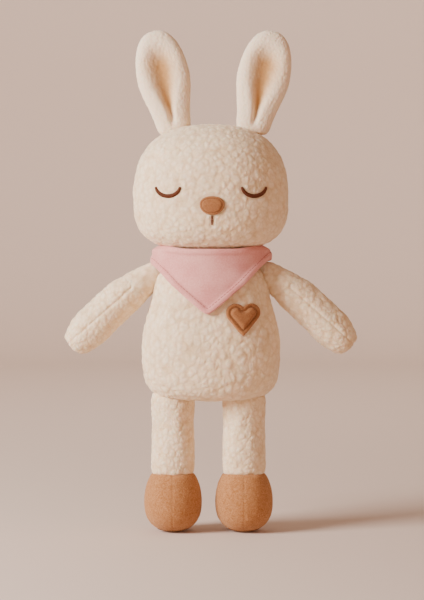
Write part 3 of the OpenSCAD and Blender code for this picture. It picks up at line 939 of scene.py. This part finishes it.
# The sole from its middle out over its edge: shares of its radius, and mm below the foot
SOLE_PROFILE = ((0, 0.25), (0.35, 0.25), (0.7, 0.3), (0.93, 0.35), (1.0, 0.1), (0.97, -0.6), (0, -0.6))
SOLE_RADIUS = 12 * MM
SOLE_SIDES = 48
SOLE_STITCHES = 36
for side, name in ((1, "left"), (-1, "right")):
    low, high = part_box("foot_outer_panel_" + name)
    inner_low, inner_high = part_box("foot_inner_panel_" + name)
    middle_x = (min(low.x, inner_low.x) + max(high.x, inner_high.x)) / 2
    foot_radius = max(high.x, inner_high.x) - middle_x - 0.3 * MM
    foot_top = high.z + 1.0 * MM
    upper = (high.z - FOOT_WIDEST) / rounding(ANKLE_RADIUS / foot_radius, 2)

    def foot_point(level, lon):
        z = FOOT_WIDEST + (FOOT_WIDEST if level < 0 else foot_top - FOOT_WIDEST) * level
        above = z >= FOOT_WIDEST
        thick = foot_radius * rounding((z - FOOT_WIDEST) / (upper if above else FOOT_WIDEST),
                                       2 if above else 2.5)
        if level > 0.985:
            thick *= (1 - level) / 0.015
        across, along = plan(lon, 2.05)
        return middle_x + thick * across, thick * along * 1.03, max(0.35 * MM, z)

    foot = stuffed("foot_felt_" + name, form_mesh("foot", foot_point, 60, 56), 3 * MM, 0.3 * MM, 2)
    sew(foot, 0.3 * MM, 0.6 * MM, lambda rows: rows[:, 0] - middle_x)
    grow_pile(foot, FELT, 17 + side, nub=1.6 * MM, height=0.16 * MM, curl=0.8 * MM,
              curl_height=0.1 * MM)
    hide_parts(f"foot_outer_panel_{name}", f"foot_inner_panel_{name}",
                f"foot_filling_{name}")
    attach(foot, "leg_" + name)

    def foot_underside(radius):
        """The height of the foot's rounded underside this far from its middle."""
        return FOOT_WIDEST - FOOT_WIDEST * rounding(radius / foot_radius, 2.5)

    def sole_ring(share, drop):
        radius = share * SOLE_RADIUS
        height = max(0, foot_underside(radius) - drop * MM)
        turns = [2 * math.pi * k / SOLE_SIDES for k in range(SOLE_SIDES if share else 1)]
        return [(middle_x + radius * math.cos(turn), radius * math.sin(turn), height) for turn in turns]

    start, *skin, end = [sole_ring(share, drop) for share, drop in SOLE_PROFILE]
    sole = link_object("foot_sole_felt_" + name, ringed_mesh("sole", start[0], skin, end[0], FELT))
    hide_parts("foot_sole_" + name)
    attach(sole, "leg_" + name)
    spots = []
    for k in range(SOLE_STITCHES):
        angle = 2 * math.pi * k / SOLE_STITCHES
        out = Vector((math.cos(angle), math.sin(angle), 0))
        middle = Vector((middle_x, 0, foot_underside(SOLE_RADIUS) - 0.15 * MM)) + out * SOLE_RADIUS
        along = (out + Vector((0, 0, 0.55))).normalized()
        spots.append((middle, along, (out * 0.5 - Vector((0, 0, 1))).normalized(), 2.2 * MM))
    stitches("sole_thread_" + name, spots, 0.35 * MM, 0.2 * MM, TAN_THREAD,
             "leg_" + name)

# ---------------------------------------------------------------------------------------------
# Ears: a smooth short pile, puffed round the edge and drawn in down the middle, so that a
# hollow runs from near the tip and closes to a crease at the fold. The hollow is painted a
# warm tan, partly the fleece's own tone and partly painted shade.
# ---------------------------------------------------------------------------------------------
EAR_LENGTH = 71 * MM
EAR_HALF = 21.2 * MM
EAR_BASE_HALF = 14.6 * MM
EAR_THICK = 9.6 * MM
EAR_BASE_THICK = 8.0 * MM
EAR_ROOT = 11 * MM


def ear_material():
    """Short fleece: cream on the puffed rim; in the hollow a tan, partly the fleece's own tone and
    partly painted shade.
    """
    material, tree, shader = new_material(
        "short ear fleece", {**PILE_LOOK, "Sheen Weight": 0.3, "Sheen Roughness": 0.55})
    hollow_tan_and_shade = add_node(tree, "ShaderNodeAttribute", attribute_name="hollow_tan_and_shade").outputs["Fac"]
    soft = first(tree, "ShaderNodeTexNoise",
                 {"Vector": object_place(tree, 1 / (4 * MM)), "Scale": 1.0, "Detail": 3.0})
    edge = first(tree, "ShaderNodeMath", {0: soft, 1: 0.5}, operation="SUBTRACT")
    share = first(tree, "ShaderNodeMath", {0: edge, 1: 0.25, 2: hollow_tan_and_shade}, operation="MULTIPLY_ADD")
    ramp = add_node(tree, "ShaderNodeValToRGB", {"Fac": share})
    # Rim cream to hollow tan: partly the fleece's tone, partly painted shade
    set_bands(ramp, (0.1, "#f0dcc2"), (0.5, "#e2c6a4"), (0.95, "#c0925f"))
    tree.links.new(ramp.outputs["Color"], shader.inputs["Base Color"])
    fibre_relief(tree, shader, 0.6 * MM, 4.0, 1.2, 0.4, 0.25 * MM)
    return material


EAR_FLEECE = ear_material()


def hollow_width(reach):
    """Half the width of the hollow in an ear: a crease at the fold, widest in the upper half."""
    narrowed = mix(1.0, 0.8, smooth(reach, 48 * MM, 64 * MM))
    return mix(2.2 * MM, 10.5 * MM, smooth(reach, 0, 44 * MM)) * narrowed


for side, name in ((1, "left"), (-1, "right")):
    pivot = Vector(joints["ear_fold_" + name]["pos_m"])
    fold = Vector(joints["ear_fold_" + name]["axis"])
    upright = fold.cross(Vector((0, 1, 0))).normalized()
    upright = upright if upright.z > 0 else -upright
    place = limb_frame(pivot, upright)
    back = np.array(place.inverted())

    def ear_point(level, lon):
        reach = mix(-EAR_ROOT, EAR_LENGTH, (level + 1) / 2)
        cap = rounding(level, 7 if level < 0 else 2.3)
        share = smooth(reach, -4 * MM, 34 * MM)
        half = (mix(EAR_BASE_HALF, EAR_HALF, share) - 0.4 * MM) * cap
        thick = (mix(EAR_BASE_THICK, EAR_THICK, share) - 0.4 * MM) * min(1, cap * 1.05)
        across, along = plan(lon, 2.5)
        x = half * across
        hollow = math.exp(-abs(x / hollow_width(reach)) ** 2.2) * smooth(reach, -8 * MM, 4 * MM)
        hollow *= 1 - smooth(reach, 46 * MM, 66 * MM)
        y = thick * along * (1 - 0.68 * hollow if along < 0 else 0.75)
        return tuple(place @ Vector((x, y, reach)))

    ear = subdivided(link_object("ear_fleece_" + name, form_mesh("ear", ear_point, 90, 120)), 1)
    # The hollow's tan, deepest along the groove: partly the fleece's tone, partly painted shade
    hollow_tan_and_shade = []
    for x, y, reach in places(ear) @ back[:3, :3].T + back[:3, 3]:
        tone = math.exp(-abs(x / hollow_width(reach) / 1.15) ** 2) * smooth(reach, -8 * MM, 14 * MM)
        tone *= 1 - smooth(reach, 42 * MM, 64 * MM)
        hollow_tan_and_shade.append(tone if y < 1.0 * MM else 0.0)
    mark(ear.data, "hollow_tan_and_shade", hollow_tan_and_shade)
    grow_pile(ear, EAR_FLEECE, 21 + side, nub=2.6 * MM, height=0.42 * MM, curl=1.0 * MM,
              curl_height=0.16 * MM)
    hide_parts(f"ear_front_panel_{name}", f"ear_back_panel_{name}", f"ear_filling_{name}")
    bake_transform(ear)

# ---------------------------------------------------------------------------------------------
# Heart: a felt heart with a stitched line just inside its edge. The stitches draw the felt
# down, so the middle puffs up.
# ---------------------------------------------------------------------------------------------
smooth_body = surface_tree(body)
heart_middle = ((heart_low.x + heart_high.x) / 2, (heart_low.z + heart_high.z) / 2 + 2.6 * MM)
HEART_BORDER = 3.0 * MM
LOBE = 7.4 * MM
LOBE_PLACE = Vector((6.0 * MM, 3.0 * MM))
HEART_POINT = 16.2 * MM


def heart_outline(turn):
    """Two round lobes, with straight sides that run from them to the point at the bottom."""
    way = Vector((abs(math.cos(turn)), math.sin(turn)))
    to_lobe = LOBE_PLACE + Vector((0, HEART_POINT))
    slope = math.atan2(to_lobe.y, to_lobe.x) - math.asin(LOBE / to_lobe.length)
    facing = Vector((math.sin(slope), -math.cos(slope)))
    if math.atan2(way.y, way.x) < math.atan2(*(LOBE_PLACE + LOBE * facing).yx):
        reach = facing.y * -HEART_POINT / facing.dot(way)
    else:
        ahead = LOBE_PLACE.dot(way)
        reach = ahead + math.sqrt(LOBE ** 2 - LOBE_PLACE.length_squared + ahead ** 2)
    reach -= 0.9 * MM * math.exp(-((1 + way.y) / 0.02))
    return math.copysign(way.x, math.cos(turn)) * reach, way.y * reach


def heart_height(gap):
    puff = 1.2 * smooth(gap, HEART_BORDER, HEART_BORDER + 3.0 * MM)
    groove = 0.7 * math.exp(-((gap - HEART_BORDER) / (0.6 * MM)) ** 2)
    return (0.2 + 1.6 * rounded_edge(gap, 1.1 * MM) + puff - groove) * MM


heart_ground = patch_ground(smooth_body, heart_middle, 12 * MM)
heart = patch("heart_felt", heart_ground, heart_middle, heart_outline, heart_height, 120, 26, DARK_FELT)
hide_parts("heart_patch")
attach(heart, "torso")


def heart_inset(turn):
    """The stitched line: the heart's outline, moved in by the width of its border."""
    ahead = Vector(heart_outline(turn + 0.01)) - Vector(heart_outline(turn - 0.01))
    inwards = Vector((-ahead.y, ahead.x)).normalized()
    spot = Vector(heart_outline(turn))
    return spot + (inwards if inwards.dot(spot) < 0 else -inwards) * HEART_BORDER


heart_path = []
outline_spots = np.array([heart_outline(2 * math.pi * i / PATH_STEPS) for i in range(PATH_STEPS)])
for index in range(PATH_STEPS + 1):
    across, up = heart_inset(2 * math.pi * (index + 0.5) / PATH_STEPS)
    gap = np.min(np.hypot(outline_spots[:, 0] - across, outline_spots[:, 1] - up))
    if gap > 0.97 * HEART_BORDER:
        spot, facing = heart_ground(heart_middle[0] + across, heart_middle[1] + up)
        heart_path.append((spot + facing * heart_height(HEART_BORDER), facing))
stitches("heart_thread", dashes(heart_path, 1.6 * MM, 0.5 * MM, 0.15 * MM), 0.5 * MM, 0.45 * MM,
         TAN_THREAD, "torso", "heart_stitching")

# ---------------------------------------------------------------------------------------------
# Bandana: pink brushed cotton, cut double as a triangle, turned and topstitched. Its long edge
# goes round the neck under the chin, the point hangs in front, and the two narrow ends come
# near each other at the nape, where a few long stitches join them.
# ---------------------------------------------------------------------------------------------
bandana_low, bandana_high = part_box("bandana")
TIP_X = -2.5 * MM
TIP_ROUND = 2.2 * MM
HEM = 4.6 * MM
CLOTH = 1.5 * MM
HEM_THICK = 2.9 * MM
# The scale at which a wave texture repeats once a unit
WAVE_A_UNIT = 0.3142


def bandana_top(turn):
    """The height of the upper edge: under the chin in front, up at the sides, low at the nape."""
    front = bandana_high.z + mix(2.6 * MM, 5.2 * MM, smooth(abs(turn), 20, 60))
    return mix(front, bandana_high.z - 4 * MM, smooth(abs(turn), 95, 165))


def bandana_bottom(turn):
    """The height of the lower edge: the point on the chest, then a narrow band to the nape."""
    wide = bandana_high.x - 1.5 * MM
    tip = bandana_low.z + 0.8 * MM
    slope = (bandana_high.z - 5.5 * MM - tip) / wide
    if abs(turn) > 90:
        side_low = tip + slope * (wide - abs(TIP_X))
        return mix(side_low, bandana_high.z - 15 * MM, smooth(abs(turn), 90, 165))
    across = wide * math.sin(math.radians(turn))
    return tip + slope * (math.hypot(across - TIP_X, TIP_ROUND) - TIP_ROUND)


def hem_slope(turn):
    """How steeply the lower edge rises at this angle round the neck."""
    run = math.radians(1) * bandana_high.x * max(0.35, abs(math.cos(math.radians(turn))))
    return (bandana_bottom(turn + 0.5) - bandana_bottom(turn - 0.5)) / run


def bandana_surface(turn, z, lift):
    """A spot on the cloth: on the chest low down, and standing off the neck higher up."""
    angle = math.radians(turn)
    wide, deep = body_reach(min(z, body_high.z - 14 * MM))
    reach = mix(1.6 * MM, -1.8 * MM, smooth(z, body_high.z - 20 * MM, body_high.z - 5 * MM)) + lift
    # The upper edge is drawn in under the cheeks, and the band at the nape still more
    at_top = smooth(z, bandana_high.z - 0.5 * MM, bandana_high.z + 7 * MM)
    reach -= 9 * MM * at_top * smooth(abs(turn), 30, 70)
    at_nape = smooth(z, bandana_high.z - 15 * MM, bandana_high.z - 2 * MM)
    reach -= 6 * MM * at_nape * smooth(abs(turn), 100, 150)
    reach += 0.45 * MM * math.sin(math.radians(turn * 5 + 40)) * smooth(abs(turn), 30, 80)
    reach += 0.5 * MM * noise.noise(Vector((turn * 0.03, z * 60, 1.7)))
    return Vector(((wide + reach) * math.sin(angle), -(deep + reach) * math.cos(angle), z))


def cotton_material():
    """Brushed cotton: a fine plain weave, matt, with a soft nap and a little uneven dye."""
    material, tree, shader = new_material("pink brushed cotton", {
        "Roughness": 0.88, "Specular IOR Level": 0.25, "Sheen Weight": 0.35,
        "Sheen Roughness": 0.5, "Sheen Tint": colour("#ffe6e2")})
    uv = first(tree, "ShaderNodeUVMap", uv_map="cloth")
    # Real threads are 0.3 mm apart; they are drawn 0.7 mm apart so that the weave shows
    grid = first(tree, "ShaderNodeMapping", {"Vector": uv, "Scale": (1 / (0.7 * MM),) * 3})
    warp, weft = (add_node(tree, "ShaderNodeTexWave", {"Vector": grid, "Scale": WAVE_A_UNIT,
                                                       "Distortion": 0.6},
                           bands_direction=way).outputs["Fac"] for way in ("X", "Y"))
    nap = first(tree, "ShaderNodeTexNoise",
                {"Vector": object_place(tree, 1 / (1.2 * MM)), "Scale": 1.0, "Detail": 5.0})
    shade = first(tree, "ShaderNodeTexNoise",
                  {"Vector": object_place(tree, 1 / (14 * MM)), "Scale": 1.0, "Detail": 2.0})
    both = first(tree, "ShaderNodeMath", {0: nap, 1: shade}, operation="ADD")
    ramp = add_node(tree, "ShaderNodeValToRGB",
                    {"Fac": first(tree, "ShaderNodeMath", {0: both, 1: 0.5}, operation="MULTIPLY")})
    set_bands(ramp, (0.35, "#d58b87"), (0.65, "#e5a6a1"))
    tree.links.new(ramp.outputs["Color"], shader.inputs["Base Color"])
    rough = first(tree, "ShaderNodeMath", {0: warp, 1: weft, 2: nap}, operation="MULTIPLY_ADD")
    bump = first(tree, "ShaderNodeBump", {"Height": rough, "Strength": 0.5, "Distance": 0.15 * MM})
    tree.links.new(bump, shader.inputs["Normal"])
    return material


COTTON = cotton_material()
PINK_THREAD = thread_material("pink sewing thread", "#a5605c", 0.7)
# Degrees round the neck where the front's hem and the whole cloth end, and the mesh's steps
FRONT_END = 88
TURN_END = 176
TURNS = 176
DOWNS = 40
HEM_STEPS = 1200


def cloth_thickness(edge):
    """The cloth's thickness this far in from the nearest edge: a rolled hem, then flat cloth."""
    groove = 1.0 * MM * math.exp(-((edge - HEM) / (0.6 * MM)) ** 2)
    flat = mix(HEM_THICK, CLOTH, smooth(edge, HEM, HEM + 1.2 * MM))
    return flat * rounded_edge(edge, 1.3 * MM) - groove


verts, uvs = [], []
for layer in (1, 0):
    for turn in [-TURN_END + 2 * TURN_END * i / TURNS for i in range(TURNS + 1)]:
        top, bottom = bandana_top(turn), bandana_bottom(turn)
        lean = 1 / math.hypot(1, hem_slope(turn)) if abs(turn) < FRONT_END else 1.0
        for j in range(DOWNS + 1):
            z = mix(top, bottom, 0.5 - 0.5 * math.cos(math.pi * j / DOWNS))
            edge = min((z - bottom) * lean, top - z, (TURN_END - abs(turn)) * 0.8 * MM)
            lift = layer * max(0.05 * MM, cloth_thickness(max(0.0, edge)))
            verts.append(bandana_surface(turn, z, lift))
            uvs.append((math.radians(turn) * bandana_high.x, z))


def cloth_at(layer, i, j):
    return (layer * (TURNS + 1) + i) * (DOWNS + 1) + j


faces = []
for layer in (0, 1):
    faces += grid_faces(lambda i, j: cloth_at(layer, i, j), TURNS, DOWNS)
for j in (0, DOWNS):
    faces += grid_faces(lambda i, layer: cloth_at(layer, i, j), TURNS, 1)
for i in (0, TURNS):
    faces += grid_faces(lambda j, layer: cloth_at(layer, i, j), DOWNS, 1)
bandana_mesh = made_mesh("bandana", verts, faces, COTTON)
cloth_map = bandana_mesh.uv_layers.new(name="cloth")
for loop in bandana_mesh.loops:
    cloth_map.data[loop.index].uv = uvs[loop.vertex_index]
bandana = subdivided(link_object("bandana_cloth", bandana_mesh), 1)
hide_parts("bandana")
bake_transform(bandana)

hem_path = []
for index in range(-HEM_STEPS, HEM_STEPS + 1):
    turn = FRONT_END * index / HEM_STEPS
    z = bandana_bottom(turn) + HEM * math.hypot(1, hem_slope(turn))
    if z <= bandana_top(turn) - 2 * MM:
        angle = math.radians(turn)
        hem_path.append((bandana_surface(turn, z, cloth_thickness(HEM) + 0.15 * MM),
                         Vector((math.sin(angle), -math.cos(angle), 0.05)).normalized()))
hem = stitches("bandana_hem_thread", dashes(hem_path, 2.1 * MM, 0.9 * MM, 0.0), 0.42 * MM, 0.35 * MM,
               PINK_THREAD, "torso", "bandana_hem_stitching")
tacks = []
for row in range(6):
    z = mix(bandana_top(178), bandana_bottom(178), (row + 1) / 7)
    spot = bandana_surface(180, z, HEM_THICK + 0.1 * MM)
    tacks.append((spot, Vector((1, 0, 0.25 * (-1) ** row)).normalized(), Vector((0, 1, 0)), 9 * MM))
tack = stitches("bandana_tack_thread", tacks, 0.6 * MM, 0.8 * MM, PINK_THREAD,
                "torso", "bandana_tack_stitches")

# ---------------------------------------------------------------------------------------------
# Tail: a round pompon of the same plush with a deeper pile, sewn on low at the back. It is out
# of sight from the front.
# ---------------------------------------------------------------------------------------------
tail_low, tail_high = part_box("tail")
tail_radius = (tail_high.x - tail_low.x) / 2
tail_middle = Vector((0, tail_high.y - tail_radius, (tail_low.z + tail_high.z) / 2))


def tail_point(level, lon):
    cap = rounding(level, 2)
    across, along = plan(lon, 2)
    radius = tail_radius - 0.8 * MM
    return (tail_middle.x + radius * cap * across, tail_middle.y + radius * cap * along,
            tail_middle.z + radius * level)


tail = stuffed("tail_pompon", form_mesh("tail", tail_point, 24, 32), 3 * MM, 0.5 * MM, 2)
grow_pile(tail, PLUSH, 31, nub=3.6 * MM, height=2.0 * MM, curl=1.4 * MM, curl_height=0.5 * MM)
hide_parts("tail")
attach(tail, "torso")

# ---------------------------------------------------------------------------------------------
# Label: a blank loop of satin tape, folded at its lower end and sewn on low at the back. Real
# toys carry one there; the picture doesn't show this one's back.
# ---------------------------------------------------------------------------------------------
label_low, label_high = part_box("care_label")
FOLD_ROOM = 1.5 * MM


def tape_material():
    """Satin tape: smooth off-white ribbon with fine ribs across it."""
    material, tree, shader = new_material("white satin tape", {
        "Base Color": colour("#f3f0ea"), "Roughness": 0.4, "Sheen Weight": 0.1})
    ribs = add_node(tree, "ShaderNodeTexWave",
                    {"Vector": object_place(tree, 1 / (0.8 * MM)), "Scale": WAVE_A_UNIT,
                     "Distortion": 0.3}, bands_direction="Z").outputs["Fac"]
    bump = first(tree, "ShaderNodeBump", {"Height": ribs, "Strength": 0.3, "Distance": 0.1 * MM})
    tree.links.new(bump, shader.inputs["Normal"])
    return material


corner = Vector((label_low.x, label_high.y, 0))
across = Vector((label_high.x, label_low.y, 0)) - corner
outwards = Vector((-across.y, across.x, 0)).normalized()
outwards = outwards if outwards.y > 0 else -outwards
# Down the inner layer, round the fold and up the outer layer: mm out from the body, and height
fold_z = label_low.z + FOLD_ROOM
profile = [(0.25, mix(label_high.z, fold_z, k / 8)) for k in range(9)]
profile += [(0.25 + 0.5 * (1 - math.cos(turn)), fold_z - 0.9 * MM * math.sin(turn))
            for turn in (math.pi * k / 6 for k in range(1, 6))]
profile += [(1.25 + 0.5 * math.sin(math.pi * k / 8), mix(fold_z, label_high.z, k / 8))
            for k in range(9)]
verts = [corner + across * (column / 6) + outwards * ((off - 1.2) * MM) + Vector((0, 0, z))
         for off, z in profile for column in range(7)]
faces = grid_faces(lambda column, row: row * 7 + column, 6, len(profile) - 1)
tape = link_object("care_label_tape", made_mesh("label", verts, faces, tape_material()))
tape.modifiers.new("thick", "SOLIDIFY").thickness = 0.25 * MM
baked(tape)
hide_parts("care_label")
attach(tape, "torso")
